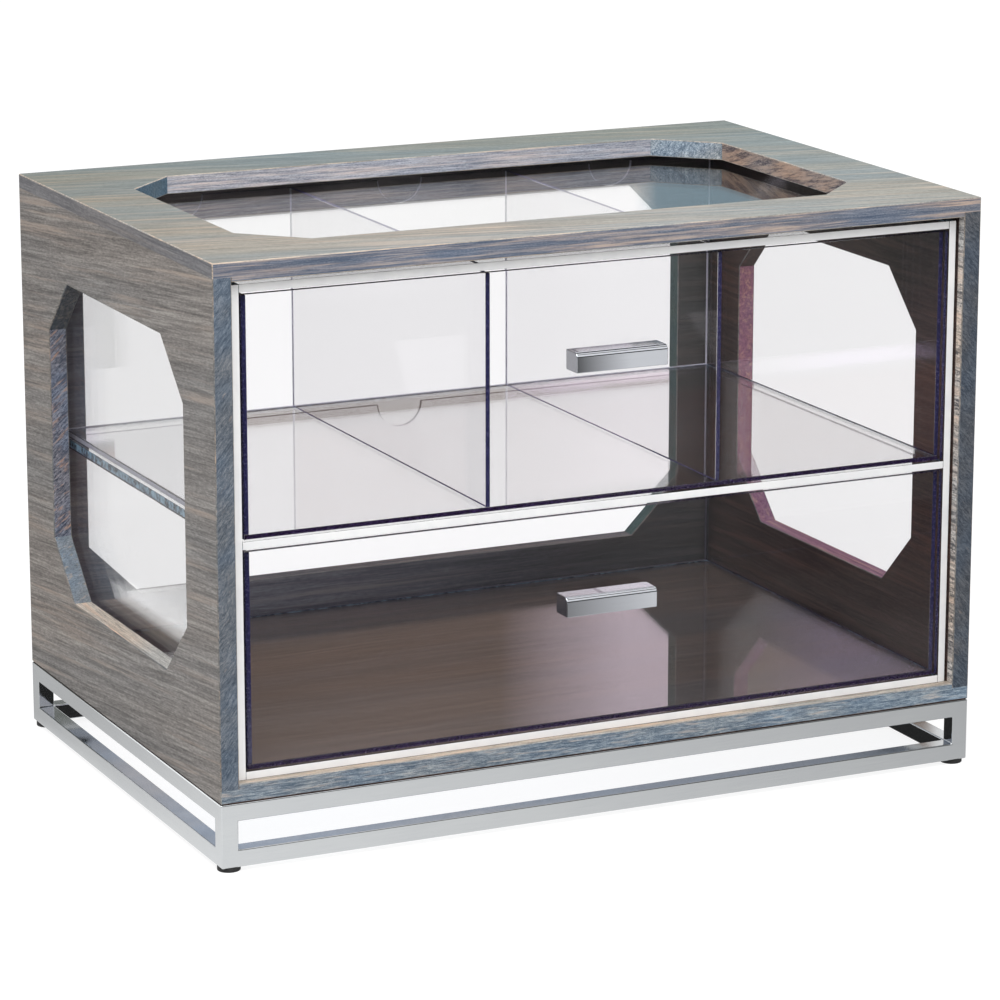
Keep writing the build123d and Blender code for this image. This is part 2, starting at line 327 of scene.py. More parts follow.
def socket_screw(name, under_head, axis, head_radius, head_height, shank_radius, shank_length):
    """A pan-headed screw with a six-sided socket. The axis points from its head along its shank."""
    along = Vector(axis)
    screw = rod(name, Vector(under_head) - along * head_height, axis, head_radius, head_height, 36)
    crown = Vector(under_head) - along * head_height
    edit_edges(screw, lambda edge: all(abs((v.co - crown).dot(along)) < touching for v in edge.verts))
    bpy.ops.mesh.bevel(offset=screw_head_round, segments=4, affect="EDGES")
    end_edit()
    edit_faces(screw, lambda face: face.normal.dot(along) > 0.99)
    bpy.ops.mesh.inset(thickness=head_radius - shank_radius)
    bpy.ops.mesh.extrude_region_move(TRANSFORM_OT_translate={"value": along * shank_length})
    end_edit()
    cut_away(screw, rod("socket", crown - along * MM, axis, socket_radius, socket_depth + MM, 6))
    return screw


steel = new_metal("zinc_plated_steel", (0.60, 0.61, 0.62), (0.50, 0.50, 0.49), 0.28, 0.42)

tab_low, tab_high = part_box("stand_front_left_tab")
screws_low, screws_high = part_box("stand_screws")
tab_screw_spot = screws_low + Vector((screw_head_radius, screw_head_radius, 0))
first_tab = block("stand_tab_front_left", tab_low, tab_high)
edit_faces(first_tab, lambda face: True)
slant_through = Vector((tab_high.x, tab_low.y, tab_low.z))
bpy.ops.mesh.bisect(plane_co=slant_through, plane_no=(1, 1, 0), use_fill=True, clear_outer=True)
end_edit()
hole_start = (tab_screw_spot.x, tab_screw_spot.y, tab_low.z - MM)
cut_away(first_tab, rod("hole", hole_start, (0, 0, 1), tab_hole_radius, tab_high.z - tab_low.z + 2 * MM))
ease_edges(first_tab, plate_arris, 2)
first_tab.data.materials.append(chrome)

middle_y = (frame_low.y + frame_high.y) / 2
screw_start = (tab_screw_spot.x, tab_screw_spot.y, tab_low.z)
head_height = tab_low.z - screws_low.z
first_screw = socket_screw("stand_screw_front_left", screw_start, (0, 0, 1), screw_head_radius, head_height,
                           screw_shank_radius, screws_high.z - tab_low.z)
first_screw.data.materials.append(steel)
for end, back in (("front", False), ("back", True)):
    for hand, right in (("left", False), ("right", True)):
        mirror = (-1 if right else 1, -1 if back else 1, 1)
        shift = (0, 2 * middle_y if back else 0, 0)
        first = not (back or right)
        tab = first_tab if first else copy_of(first_tab, f"stand_tab_{end}_{hand}", shift, mirror)
        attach(tab, "casing")
        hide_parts(f"stand_{end}_{hand}_tab")
        screw = first_screw if first else copy_of(first_screw, f"stand_screw_{end}_{hand}", shift, mirror)
        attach(screw, "casing")
        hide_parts("stand_screws")


# ---- feet ----
# A low black rubber disc under each post, with a dished underside that grips the counter. Its pin
# is pushed up into a hole in the post.
foot_edge_round = 0.5 * MM
foot_rim = 1.8 * MM
foot_dish = 0.5 * MM
foot_height = 3 * MM
foot_pin_radius = 2 * MM

rubber, tree, shader = new_material("black_rubber")
place = object_place(tree)
grain = stretched_noise(place, (2600, 2600, 2600), 2)
bloom = remap(stretched_noise(place, (160, 160, 160), 3), 0.4, 0.75)
feed(shader.inputs["Base Color"], blend_colours(bloom, (0.012, 0.012, 0.013), (0.035, 0.035, 0.036)))
feed(shader.inputs["Roughness"], remap(grain, 0.3, 0.7, 0.55, 0.8))
bump(grain, 0.4, 0.1 * MM, shader)

foot_low, foot_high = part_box("foot_front_left")
foot_radius = (foot_high.x - foot_low.x) / 2
foot_middle = Vector(((foot_low.x + foot_high.x) / 2, (foot_low.y + foot_high.y) / 2, 0))
first_foot = rod("foot_front_left_disc", foot_middle, (0, 0, 1), foot_radius, foot_height, 48)
edit_edges(first_foot, lambda edge: all(v.co.z < touching for v in edge.verts))
bpy.ops.mesh.bevel(offset=foot_edge_round, segments=3, affect="EDGES")
end_edit()
edit_faces(first_foot, lambda face: face.normal.z < -0.99)
bpy.ops.mesh.inset(thickness=foot_rim)
bpy.ops.mesh.inset(thickness=foot_dish, depth=-foot_dish)
end_edit()
edit_faces(first_foot, lambda face: face.normal.z > 0.99 and face.calc_center_median().z > foot_height / 2)
bpy.ops.mesh.inset(thickness=foot_radius - foot_pin_radius)
bpy.ops.mesh.extrude_region_move(TRANSFORM_OT_translate={"value": (0, 0, foot_high.z - foot_height)})
end_edit()
first_foot.data.materials.append(rubber)
for corner in corners:
    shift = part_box(f"foot_{corner}")[0] - foot_low
    foot = first_foot if corner == "front_left" else copy_of(first_foot, f"foot_{corner}_disc", shift)
    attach(foot, "casing")
    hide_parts(f"foot_{corner}")


# ---- oak boards ----
# Twelve-millimetre oak board, brushed and washed grey so that the soft grain holds the grey and the
# hard grain stays beige. The cut edges and many faces round the windows are lit and shaded copies of
# the oak: painted shade, darker and bluer, where they face away from the light, and painted light
# where they face it. The arrises of the top and bottom boards are lighter than their faces. The
# inside is painted dark as painted shade, and its lip in front of the liner lighter as painted light.
board_arris = 0.6 * MM
under_chamfer = 1.1 * MM

oak_group, oak_in, oak_out = new_group(
    "washed_oak",
    {"Contrast": 1.0, "Warm streaks": 0.3, "Sway": 1.0, "Zones": 0.5},
    {"Dark": (0.1, 0.1, 0.1), "Middle": (0.25, 0.25, 0.24), "Light": (0.4, 0.38, 0.35),
     "Warm": (0.5, 0.42, 0.34)},
    {"Colour": "Color", "Roughness": "Float", "Height": "Float"},
)
sway = stretched_noise(oak_in["Place"], (6, 18, 18), 2, 0.5, 3.0)
sway_node = oak_group.nodes.new("ShaderNodeCombineXYZ")
swing = times(remap(sway, 0.2, 0.8, -3 * MM, 3 * MM), oak_in["Sway"])
feed(sway_node.inputs["Y"], swing)
feed(sway_node.inputs["Z"], swing)
swayed = oak_group.nodes.new("ShaderNodeVectorMath")
feed(swayed.inputs[0], oak_in["Place"])
feed(swayed.inputs[1], sway_node.outputs["Vector"])
oak_place = swayed.outputs["Vector"]
zones = stretched_noise(oak_place, (2.4, 19, 19), 1, 0.5, 7.0)
bands = stretched_noise(oak_place, (3, 60, 60), 2, 0.5, 1.0)
growth = stretched_noise(oak_place, (6, 330, 330), 3, 0.62, 2.0)
fibre = stretched_noise(oak_place, (24, 850, 850), 2, 0.65, 4.0)
specks = stretched_noise(oak_place, (240, 950, 950), 1, 0.6, 9.0)
lines = stretched_noise(oak_place, (14, 480, 480), 2, 0.55, 5.0)
pores = stretched_noise(oak_place, (90, 2000, 2000), 1, 0.5, 6.0)
warm_zones = stretched_noise(oak_place, (5, 170, 170), 2, 0.55, 8.0)

tone = plus(times(bands, 0.12), times(growth, 0.32))
tone = plus(tone, times(fibre, 0.32))
tone = plus(tone, times(specks, 0.24))
spread = combine("DIVIDE", 0.14, oak_in["Contrast"])
tone = remap(tone, combine("SUBTRACT", 0.5, spread), plus(0.5, spread))
lower_half = remap(tone, 0, 0.5)
upper_half = remap(tone, 0.5, 1)
colour = blend_colours(lower_half, oak_in["Dark"], oak_in["Middle"])
colour = blend_colours(upper_half, colour, oak_in["Light"])
warm = remap(warm_zones, combine("SUBTRACT", 0.78, oak_in["Warm streaks"]),
             combine("SUBTRACT", 0.95, oak_in["Warm streaks"]))
warm = times(warm, remap(growth, 0.38, 0.62, 0.15, 1))
colour = blend_colours(warm, colour, oak_in["Warm"])
dark_lines = remap(lines, 0.56, 0.63, 0, 0.5)
pore_marks = remap(pores, 0.60, 0.70, 0, 0.45)
open_grain = combine("MAXIMUM", dark_lines, pore_marks)
colour = blend_colours(open_grain, colour, oak_in["Dark"])
wash = blend_colours(remap(zones, 0.38, 0.62), (0.80, 0.93, 1.07), (1.15, 1.01, 0.90))
feed(oak_out["Colour"], blend_colours(oak_in["Zones"], colour, wash, "MULTIPLY"))
feed(oak_out["Roughness"], remap(tone, 0, 1, 0.72, 0.55))
feed(oak_out["Height"], combine("SUBTRACT", plus(growth, fibre), open_grain))


def oak(name, grain_along, colours, warm_streaks=0.3, contrast=1.0, finer=(1, 1), slant=0, skew=0, shift=0.0,
        relief=0.35, sway=1.0, zones=0.5):
    """One finish of the oak, from its dark, middle and light grain and its warm streaks.

    The grain runs along X, Y or Z, turned upright by the slant and flat by the skew, in degrees. The
    figure is so many times finer along and across the grain, and the shift gives each board its own.
    Sway is how much the grain wanders, and zones is how far the wash changes between cool and warm.
    """
    material, tree, shader = new_material(name)
    grain = tree.nodes.new("ShaderNodeMapping")
    grain.vector_type = "TEXTURE"
    turn = {"X": (0, 0, 0), "Y": (0, 0, 90), "Z": (0, -90, 0)}[grain_along]
    turned = (turn[0], turn[1] + slant, turn[2] + skew)
    grain.inputs["Rotation"].default_value = [math.radians(angle) for angle in turned]
    grain.inputs["Location"].default_value = (shift, 1.7 * shift, 0.6 * shift)
    grain.inputs["Scale"].default_value = (1 / finer[0], 1 / finer[1], 1 / finer[1])
    feed(grain.inputs["Vector"], object_place(tree))
    group = tree.nodes.new("ShaderNodeGroup")
    group.node_tree = oak_group
    numbers = {"Contrast": contrast, "Warm streaks": warm_streaks, "Sway": sway, "Zones": zones}
    for socket, value in (*numbers.items(), *zip(("Dark", "Middle", "Light", "Warm"), colours)):
        feed(group.inputs[socket], value)
    feed(group.inputs["Place"], grain.outputs["Vector"])
    feed(shader.inputs["Base Color"], group.outputs["Colour"])
    feed(shader.inputs["Roughness"], group.outputs["Roughness"])
    shader.inputs["Specular IOR Level"].default_value = 0.3
    bump(group.outputs["Height"], relief, 0.25 * MM, shader)
    return material


def cut_window(piece, low, high, axis):
    """Cuts a window through a board along an axis, with the four corners of its outline clipped off."""
    cutter = block("window", low, high)
    edit_edges(cutter, lambda edge: abs((edge.verts[0].co - edge.verts[1].co).normalized()[axis]) > 0.99)
    bpy.ops.mesh.bevel(offset=window_clip, segments=1, affect="EDGES")
    end_edit()
    cut_away(piece, cutter)


def ease_board(piece, thin_axis, in_joint, finish):
    """Takes off the arrises of a board, but not in its glued joints or the corners inside its window."""
    low, high = [Vector(corner) for corner in (piece.bound_box[0], piece.bound_box[6])]

    def is_arris(edge):
        one, other = edge.verts[0].co, edge.verts[1].co
        across = abs(one[thin_axis] - other[thin_axis]) > MM
        inside = all(low[i] + MM < one[i] < high[i] - MM for i in range(3) if i != thin_axis)
        sharp = edge.calc_face_angle(0) > math.radians(20)
        return sharp and not (across and inside) and not in_joint((one + other) / 2)

    edit_edges(piece, is_arris)
    bpy.ops.mesh.bevel(offset=board_arris, segments=2, affect="EDGES", material=finish)
    end_edit()


def score(piece):
    """Marks a line all round a board at the liner's front edges, where the painted shade of its inside
    begins.
    """
    edit_faces(piece, lambda face: True)
    bpy.ops.mesh.bisect(plane_co=(0, liner_front_y, 0), plane_no=(0, 1, 0))
    end_edit()


def cut_rabbets(piece, low, high, low_z, high_z):
    """Cuts a step for a side board across both ends of a board from low to high, between two heights."""
    for side in (-1, 1):
        ends = sorted((side * (high.x + board), side * (high.x - board)))
        cut_away(piece, block("rabbet", (ends[0], low.y - board, low_z), (ends[1], high.y + board, high_z)))


def fit_board(piece, node, finishes, rule, thin_axis, in_joint):
    """Finishes a board's faces by its rule, eases its arrises and sets it in place of its node."""
    names = list(finishes)
    for finish in finishes.values():
        piece.data.materials.append(finish)
    for face in piece.data.polygons:
        face.material_index = names.index(rule(face.normal, face.center))
    ease_board(piece, thin_axis, in_joint, names.index("arris"))
    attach(piece, "casing")
    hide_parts(node)


# the windows' margins, and how much of their corners is clipped
window_clip = 36 * MM
side_margin = 52 * MM
side_sill = 62 * MM
side_head = 58 * MM
top_side_margin = 48 * MM
top_end_margin = 50 * MM
back_margin = 42 * MM

case_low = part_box("bottom_panel")[0]
case_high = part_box("top_panel")[1]
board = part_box("left_side_panel")[1].x - case_low.x
liner_front_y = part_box("liner_floor")[0].y

# each finish has its dark, middle and light grain and its warm streaks
top_colours = ((0.165, 0.17, 0.162), (0.265, 0.262, 0.245), (0.37, 0.36, 0.33), (0.44, 0.36, 0.30))
side_colours = ((0.124, 0.116, 0.110), (0.250, 0.233, 0.220), (0.412, 0.385, 0.358), (0.43, 0.35, 0.295))
back_colours = ((0.15, 0.15, 0.145), (0.25, 0.245, 0.235), (0.37, 0.355, 0.33), (0.42, 0.345, 0.29))
# the cut edges and the side boards' front ends are copies of the oak painted darker and bluer than its faces,
# as painted shade where they face away from the light; the bottom board's front edge is a lighter copy
cut_shade_colours = ((0.060, 0.083, 0.13), (0.140, 0.162, 0.21), (0.26, 0.268, 0.31), (0.44, 0.35, 0.30))
blue_cut_colours = ((0.07, 0.105, 0.15), (0.205, 0.25, 0.295), (0.42, 0.46, 0.49), (0.52, 0.45, 0.40))
mauve_cut_colours = ((0.16, 0.06, 0.12), (0.34, 0.15, 0.24), (0.50, 0.28, 0.33), (0.58, 0.34, 0.30))
left_end_shade_colours = ((0.05, 0.07, 0.095), (0.125, 0.15, 0.185), (0.23, 0.255, 0.285), (0.40, 0.33, 0.28))
# the right board's front end is painted darker than the left's, as painted shade away from the light
right_end_shade_colours = ((0.035, 0.045, 0.06), (0.085, 0.10, 0.125), (0.16, 0.175, 0.195), (0.26, 0.22, 0.19))
# the side window's upper clips face down and are painted dark, as painted shade
window_head_shade_colours = ((0.043, 0.048, 0.056), (0.088, 0.096, 0.106), (0.165, 0.175, 0.19),
                       (0.19, 0.175, 0.165))
window_end_colours = ((0.045, 0.058, 0.09), (0.19, 0.205, 0.26), (0.37, 0.385, 0.44), (0.60, 0.36, 0.24))
window_foot_colours = ((0.10, 0.13, 0.165), (0.21, 0.25, 0.29), (0.34, 0.38, 0.42), (0.46, 0.36, 0.28))
# round the top window the left clips are painted dark as painted shade, and the right clips and the face at
# the back of the window, which looks to the front, lighter as painted light
left_clip_shade_colours = ((0.035, 0.065, 0.095), (0.085, 0.145, 0.195), (0.15, 0.22, 0.28), (0.20, 0.23, 0.26))
right_clip_light_colours = ((0.09, 0.13, 0.17), (0.29, 0.34, 0.385), (0.56, 0.61, 0.65), (0.56, 0.56, 0.56))
top_head_light_colours = ((0.14, 0.155, 0.195), (0.37, 0.375, 0.42), (0.60, 0.60, 0.64), (0.66, 0.56, 0.52))
right_cut_colours = ((0.06, 0.052, 0.065), (0.20, 0.165, 0.16), (0.40, 0.32, 0.27), (0.44, 0.32, 0.25))
band_colours = ((0.11, 0.11, 0.12), (0.185, 0.18, 0.188), (0.285, 0.275, 0.275), (0.33, 0.29, 0.255))
# the back window's sill and right clips are painted dark, as painted shade
back_foot_shade_colours = ((0.043, 0.050, 0.070), (0.100, 0.098, 0.110), (0.185, 0.165, 0.165), (0.22, 0.175, 0.15))
back_clip_shade_colours = ((0.024, 0.045, 0.044), (0.052, 0.096, 0.094), (0.085, 0.145, 0.14), (0.10, 0.13, 0.125))
# the left window's sill faces up and is painted much lighter than the oak, as painted light
sill_light_colours = ((0.28, 0.26, 0.23), (0.56, 0.51, 0.45), (0.78, 0.72, 0.64), (0.78, 0.58, 0.44))
# the boards' lips in front of the liner are painted lighter than the oak, as painted light
lit_lip_colours = ((0.20, 0.19, 0.17), (0.40, 0.37, 0.33), (0.58, 0.53, 0.46), (0.60, 0.47, 0.37))
right_lit_lip_colours = ((0.11, 0.11, 0.115), (0.44, 0.405, 0.375), (0.74, 0.67, 0.60), (0.74, 0.59, 0.48))
top_arris_colours = ((0.20, 0.20, 0.19), (0.38, 0.355, 0.32), (0.54, 0.49, 0.43), (0.60, 0.48, 0.38))
side_arris_colours = ((0.11, 0.11, 0.11), (0.19, 0.185, 0.178), (0.31, 0.295, 0.275), (0.40, 0.33, 0.27))
# the inside faces are painted dark, as painted shade, darkest under the top board; the bottom board's inside
# is less dark, as painted light that falls in through the top window
inside_shade_colours = ((0.040, 0.023, 0.019), (0.072, 0.042, 0.034), (0.11, 0.066, 0.054), (0.125, 0.066, 0.05))
inside_top_shade_colours = ((0.020, 0.019, 0.022), (0.034, 0.032, 0.037), (0.05, 0.048, 0.053), (0.055, 0.05, 0.05))
# the back board's inside is painted lighter than the other inside faces, as painted light
inside_back_light_and_shade_colours = ((0.10, 0.10, 0.10), (0.165, 0.163, 0.163), (0.23, 0.225, 0.222), (0.23, 0.205, 0.19))
inside_floor_shade_colours = ((0.064, 0.053, 0.046), (0.115, 0.094, 0.082), (0.17, 0.140, 0.124),
                        (0.18, 0.135, 0.11))
# the bottom board's underside is painted lighter and bluer than the oak, as painted light that the chrome
# rails reflect
under_light_colours = ((0.22, 0.25, 0.30), (0.36, 0.39, 0.45), (0.48, 0.50, 0.55), (0.52, 0.48, 0.46))

side_face = oak("side_board_face", "Y", side_colours, shift=0.73, warm_streaks=0.24, contrast=1.05, slant=6,
                sway=0.25, zones=0.2)
lengthwise_cut = oak("cross_board_cut_edge", "X", cut_shade_colours, contrast=1.3, finer=(3, 2.6), shift=0.31,
                     warm_streaks=0.34, sway=0.2, zones=0.3)
# the side boards' inside is painted dark, as painted shade
inside_painted_shade = oak("board_inside_painted_shade", "Y", inside_shade_colours, shift=0.9, relief=0.1)
under_side = oak("board_underside_painted_light", "X", under_light_colours, shift=0.6)
bottom_board_oak = {
    "face": under_side,
    "cut": oak("bottom_board_cut_edge", "X", blue_cut_colours, contrast=1.6, finer=(9, 2.8), shift=0.11,
               warm_streaks=0.24, sway=0.3, zones=0.3),
    "arris": oak("bottom_board_arris", "X", top_arris_colours, contrast=1.4, finer=(3, 1), shift=0.2),
    "inside": oak("bottom_board_inside_painted_shade", "X", inside_floor_shade_colours, shift=0.4, relief=0.1),
    "lip": oak("bottom_board_lip_painted_light", "X", lit_lip_colours, contrast=1.4, finer=(3, 1.5), shift=0.5),
    "end": side_face,
    # the chamfer under the board takes the dark inside finish, a painted shadow line on the stand
    "painted_shadow_line": inside_painted_shade,
}
top_face = oak("top_board_face", "X", top_colours, shift=0.56, warm_streaks=0.30, contrast=1.0,
               finer=(1.5, 1), skew=-10, sway=0.3, zones=0.6)


def tint_and_paint_light_across(material, direction, start, end, first, second):
    """Tints a finish from one colour to another in a direction. It paints light and shade that falls off
    across a finish, and in places changes the tone of the wash.
    """
    tree = material.node_tree
    base = tree.nodes["Principled BSDF"].inputs["Base Color"]
    along = tree.nodes.new("ShaderNodeVectorMath")
    along.operation = "DOT_PRODUCT"
    feed(along.inputs[0], object_place(tree))
    along.inputs[1].default_value = direction
    tint = blend_colours(remap(along.outputs["Value"], start, end), first, second)
    feed(base, blend_colours(1.0, base.links[0].from_socket, tint, "MULTIPLY"))


# painted shade on the top board, darker towards the back, away from the light; the three fades after it
# change its tone, cooler at the back, warmer and darker at the left, cooler at the right
tint_and_paint_light_across(top_face, (0, 1, 0), -0.13, 0.15, (0.98, 1.01, 1.03), (0.78, 0.85, 0.84))
tint_and_paint_light_across(top_face, (0, 1, 0), 0.09, 0.16, (1, 1, 1), (0.88, 0.96, 1.02))
tint_and_paint_light_across(top_face, (1, 0, 0), -0.25, -0.10, (0.86, 0.84, 0.80), (1, 1, 1))
tint_and_paint_light_across(top_face, (1, 0, 0), -0.05, 0.22, (1, 1, 1), (1.02, 1.07, 1.08))
# painted light on the long cut edges and on the bottom board's front edge, lighter to the right
tint_and_paint_light_across(lengthwise_cut, (1, 0, 0), -0.25, 0.25, (0.90, 0.95, 1.0), (1.24, 1.22, 1.18))
tint_and_paint_light_across(bottom_board_oak["cut"], (1, 0, 0), -0.05, 0.25, (1, 1, 1), (1.05, 1.13, 1.19))
top_board_oak = {
    "face": top_face,
    "cut": lengthwise_cut,
    "arris": oak("top_board_arris", "X", top_arris_colours, contrast=1.5, finer=(3, 1), shift=0.2),
    "inside": oak("top_board_inside_painted_shade", "X", inside_top_shade_colours, shift=0.9, relief=0.1),
    "lip": oak("top_board_lip_painted_light", "X", lit_lip_colours, contrast=1.4, finer=(3, 1.5), shift=0.7),
    "end": oak("top_board_end_band", "Y", band_colours, shift=0.31, warm_streaks=0.15, sway=0.45, zones=0.22),
    "left_clip": oak("top_window_left_clip_painted_shade", "Y", left_clip_shade_colours, finer=(4, 1.6), slant=40, shift=0.6,
                     warm_streaks=0.2, sway=0.3),
    "window_end": oak("top_window_end_grain", "Y", right_cut_colours, contrast=2.4, finer=(8, 1.8), slant=12,
                      shift=0.35, warm_streaks=0.4, sway=0.3),
    "right_clip": oak("top_window_right_clip_painted_light", "Y", right_clip_light_colours, contrast=1.7, finer=(8, 2.0),
                      slant=40, shift=0.6, warm_streaks=0.15, sway=0.3),
    "window_head": oak("top_window_head_painted_light", "X", top_head_light_colours, contrast=1.3, finer=(3, 2.6), shift=0.31,
                       warm_streaks=0.34, sway=0.2, zones=0.3),
}
back_board_oak = {
    "face": oak("back_board_face", "X", back_colours, shift=0.45),
    "cut": lengthwise_cut,
    "arris": oak("back_board_arris", "X", side_arris_colours, contrast=1.3, shift=0.2),
    "inside": oak("back_board_inside_light_and_shade", "X", inside_back_light_and_shade_colours, shift=0.8, relief=0.1),
    "window_foot": oak("back_window_foot_painted_shade", "X", back_foot_shade_colours, contrast=1.1, finer=(3, 2.6), shift=0.31,
                       sway=0.2),
    "right_clip": oak("back_window_right_clip_painted_shade", "X", back_clip_shade_colours, contrast=1.1, finer=(4, 2.2),
                      slant=-45, shift=0.2, warm_streaks=0.1, sway=0.2),
}
# painted light and shade on the back board's inside, lighter to the left and darker to the right
tint_and_paint_light_across(back_board_oak["inside"], (1, 0, 0), -0.20, 0.16, (1.55, 1.50, 1.56), (0.45, 0.43, 0.41))
side_lip = oak("side_board_lip_painted_light", "Y", lit_lip_colours, contrast=1.6, finer=(3, 1.3), shift=0.5)
side_arris = oak("side_board_arris", "Y", side_arris_colours, contrast=1.3, finer=(3, 1), shift=0.2)
left_board_oak = {
    "face": side_face,
    "cut": oak("side_board_cut_edge", "Y", cut_shade_colours, contrast=1.3, finer=(3, 2.4), shift=0.73, sway=0.2),
    "arris": side_arris,
    "inside": inside_painted_shade,
    "lip": side_lip,
    "end": oak("left_board_end_grain", "X", left_end_shade_colours, contrast=1.5, finer=(16, 2.2), slant=-52,
               shift=0.4, warm_streaks=0.12),
    "upper_clip": oak("side_window_head_painted_shade", "Y", window_head_shade_colours, finer=(3, 1.5), shift=0.3, sway=0.3),
    "window_end": oak("side_window_end_grain", "X", window_end_colours, contrast=2.0, finer=(20, 2.6),
                      slant=-40, shift=0.2, warm_streaks=0.24, sway=0.2),
    "lower_clip": oak("side_window_foot", "X", window_foot_colours, contrast=1.2, finer=(12, 2.4), slant=-30,
                      shift=0.5, warm_streaks=0.2, sway=0.2),
    "window_sill": oak("side_window_sill_painted_light", "Y", sill_light_colours, contrast=1.4, finer=(3, 1.3), shift=0.5,
                       sway=0.3),
}
right_board_oak = {
    "face": side_face,
    "cut": oak("right_board_cut_edge", "Y", mauve_cut_colours, contrast=1.0, finer=(2, 1.5), shift=0.73,
               sway=0.3),
    "arris": side_arris,
    "inside": inside_painted_shade,
    "lip": oak("right_board_lip_painted_light", "Y", right_lit_lip_colours, contrast=2.2, finer=(2, 0.8), shift=0.5, sway=0.3),
    "end": oak("right_board_end_grain_painted_shade", "X", right_end_shade_colours, contrast=1.5, finer=(16, 2.2), slant=48,
               shift=0.8, warm_streaks=0.12),
    "upper_clip": inside_painted_shade,
    "window_end": oak("right_window_end_grain", "Y", mauve_cut_colours, contrast=1.0, finer=(2, 1.5),
                      shift=0.4, sway=0.3),
    "lower_clip": oak("right_window_foot", "Y", mauve_cut_colours, contrast=1.0, finer=(2, 1.5), shift=0.9,
                      sway=0.3),
}

# bottom board: rabbeted at both ends, where the side boards stand in it
bottom_low, bottom_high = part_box("bottom_panel")
rabbet_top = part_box("left_side_panel")[0].z
bottom_board = block("oak_bottom_board", bottom_low, bottom_high)
cut_rabbets(bottom_board, bottom_low, bottom_high, rabbet_top, bottom_high.z + board)
score(bottom_board)
# its lower edges are chamfered, and that chamfer is painted dark as a shadow line
edit_edges(bottom_board, lambda edge: all(v.co.z < bottom_low.z + touching for v in edge.verts)
           and edge.calc_face_angle(0) > 1)
bpy.ops.mesh.bevel(offset=under_chamfer, segments=1, affect="EDGES")
end_edit()


def bottom_rule(normal, middle):
    if normal.z > 0.5:
        return "lip" if middle.y < liner_front_y else "inside"
    if normal.z < -0.9:
        return "face"
    if normal.z < -0.5:
        return "painted_shadow_line"
    return "end" if abs(normal.x) > 0.5 else "cut"


def bottom_joint(middle):
    in_rabbet = abs(middle.x) > bottom_high.x - board - touching and middle.z > rabbet_top - touching
    at_back = middle.y > bottom_high.y - touching and middle.z > bottom_high.z - touching
    return in_rabbet or at_back or middle.z < bottom_low.z + under_chamfer + touching


fit_board(bottom_board, "bottom_panel", bottom_board_oak, bottom_rule, 2, bottom_joint)

# side boards, each with its window
side_low, side_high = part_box("left_side_panel")
left_board = block("oak_left_side_board", side_low, side_high)
window_low = (side_low.x - board, side_low.y + side_margin, case_low.z + side_sill)
window_high = (side_high.x + board, side_high.y - side_margin, case_high.z - side_head)
cut_window(left_board, window_low, window_high, 0)
score(left_board)


def side_rule(normal, middle):
    if abs(normal.x) > 0.5:
        outside = middle.x * normal.x > 0
        return "face" if outside else "lip" if middle.y < liner_front_y else "inside"
    if abs(normal.y) > 0.5 and not side_low.y + MM < middle.y < side_high.y - MM:
        return "end"
    if abs(normal.y) > 0.9:
        return "window_end"
    if abs(normal.y) > 0.5:
        return "lower_clip" if normal.z > 0 else "upper_clip"
    return "window_sill" if normal.z > 0.9 and middle.x < 0 else "cut"


def side_joint(middle):
    at_ends = not side_low.z + touching < middle.z < side_high.z - touching
    at_back = middle.y > side_high.y - touching and abs(middle.x) < abs(side_high.x) + touching
    return at_ends or at_back


right_board = copy_of(left_board, "oak_right_side_board", mirror=(-1, 1, 1))
fit_board(left_board, "left_side_panel", left_board_oak, side_rule, 0, side_joint)
fit_board(right_board, "right_side_panel", right_board_oak, side_rule, 0, side_joint)

# back board, let in between the others
back_low, back_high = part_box("back_panel")
back_board = block("oak_back_board", back_low, back_high)
window_low = (case_low.x + back_margin, back_low.y - board, case_low.z + back_margin)
window_high = (case_high.x - back_margin, back_high.y + board, case_high.z - back_margin)
cut_window(back_board, window_low, window_high, 1)


def back_rule(normal, middle):
    if abs(normal.y) > 0.5:
        return "face" if normal.y > 0 else "inside"
    if normal.x < -0.5:
        return "right_clip"
    return "window_foot" if normal.z > 0.9 else "cut"


def back_joint(middle):
    across = back_low.x + touching < middle.x < back_high.x - touching
    return not (across and back_low.z + touching < middle.z < back_high.z - touching)


fit_board(back_board, "back_panel", back_board_oak, back_rule, 1, back_joint)

# top board, rabbeted over the side boards, with its window
top_low, top_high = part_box("top_panel")
rabbet_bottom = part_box("left_side_panel")[1].z
top_board = block("oak_top_board", top_low, top_high)
cut_rabbets(top_board, top_low, top_high, top_low.z - board, rabbet_bottom)
window_low = (top_low.x + top_side_margin, top_low.y + top_end_margin, top_low.z - board)
window_high = (top_high.x - top_side_margin, top_high.y - top_end_margin, top_high.z + board)
cut_window(top_board, window_low, window_high, 2)
score(top_board)


def top_rule(normal, middle):
    if normal.z > 0.5:
        return "face"
    if normal.z < -0.5:
        return "lip" if middle.y < liner_front_y else "inside"
    if abs(normal.x) > 0.5:
        clip = "left_clip" if middle.x < 0 else "right_clip"
        return "end" if abs(middle.x) > top_high.x - MM else "window_end" if abs(normal.x) > 0.9 else clip
    return "window_head" if normal.y < 0 < middle.y < top_high.y - MM else "cut"


def top_joint(middle):
    in_rabbet = abs(middle.x) > top_high.x - board - touching and middle.z < rabbet_bottom + touching
    at_back = middle.y > top_high.y - touching and middle.z < top_low.z + touching
    return in_rabbet or at_back


fit_board(top_board, "top_panel", top_board_oak, top_rule, 2, top_joint)

# the dowels in the joints don't show, and are plain beech
beech_colours = ((0.42, 0.28, 0.16), (0.55, 0.39, 0.24), (0.64, 0.48, 0.32), (0.66, 0.50, 0.36))
beech = oak("beech_dowel", "Z", beech_colours)
for node in ("casing_dowels", "back_dowels"):
    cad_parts[node].data.materials.clear()
    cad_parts[node].data.materials.append(beech)


